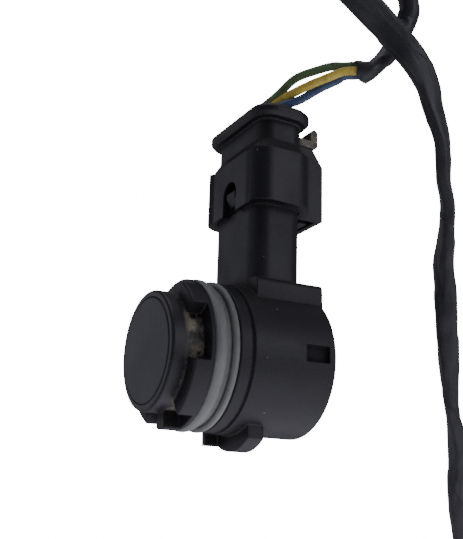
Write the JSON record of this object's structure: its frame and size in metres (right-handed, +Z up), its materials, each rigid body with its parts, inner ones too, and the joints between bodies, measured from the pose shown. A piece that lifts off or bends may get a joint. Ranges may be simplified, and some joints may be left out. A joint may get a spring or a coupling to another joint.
{
  "type": "parking sensor",
  "caption": "Ultrasonic parking sensor with a round membrane face, ribbed bumper seal, upright connector, mated plug and a taped wiring harness.",
  "frame": {"origin": "on the sensor axis, at the middle of the cylindrical lip wall around the membrane", "axes": "-Y along the sensor axis out of the membrane face, +Z up along the connector, +X to the side"},
  "size_m": [0.0304, 0.0608, 0.0983],
  "materials": {
    "membrane": "satin paint",
    "ring_rubber": "matte moulded silicone",
    "piezo": "silvered",
    "damping": "foam",
    "lead_wire": "tinned wire",
    "black_plastic": "fine moulded",
    "plug_plastic": "fine moulded",
    "seal_silicone": "satin silicone",
    "board": "solder mask",
    "ferrite": "matte",
    "chip": "matte",
    "capacitor": "satin",
    "contact": "tin plated",
    "potting": "cast",
    "orange_silicone": "satin silicone",
    "lock_plastic": "dusty",
    "wire_green": "wire insulation",
    "wire_yellow": "wire insulation",
    "wire_blue": "wire insulation",
    "cloth_tape": "woven harness tape"
  },
  "bodies": {
    "root": {"membrane_pot": "membrane", "decoupling_ring": "ring_rubber", "piezo_disc": "piezo", "damping_pad": "damping", "signal_lead": "lead_wire", "ground_lead": "lead_wire", "retaining_collar": "black_plastic", "bumper_seal": "seal_silicone", "housing": "black_plastic", "circuit_board": "board", "transformer": "ferrite", "driver_chip": "chip", "capacitors": "capacitor", "contact_pin_left": "contact", "contact_pin_middle": "contact", "contact_pin_right": "contact", "potting_cap": "potting", "plug_housing": "plug_plastic", "plug_seal": "orange_silicone", "secondary_lock": "lock_plastic", "terminal_left": "contact", "terminal_middle": "contact", "terminal_right": "contact", "wire_seal_left": "orange_silicone", "wire_seal_middle": "orange_silicone", "wire_seal_right": "orange_silicone", "wire_green": "wire_green", "wire_yellow": "wire_yellow", "wire_blue": "wire_blue", "branch_lead": "cloth_tape", "harness_trunk": "cloth_tape"}
  },
  "joints": []
}
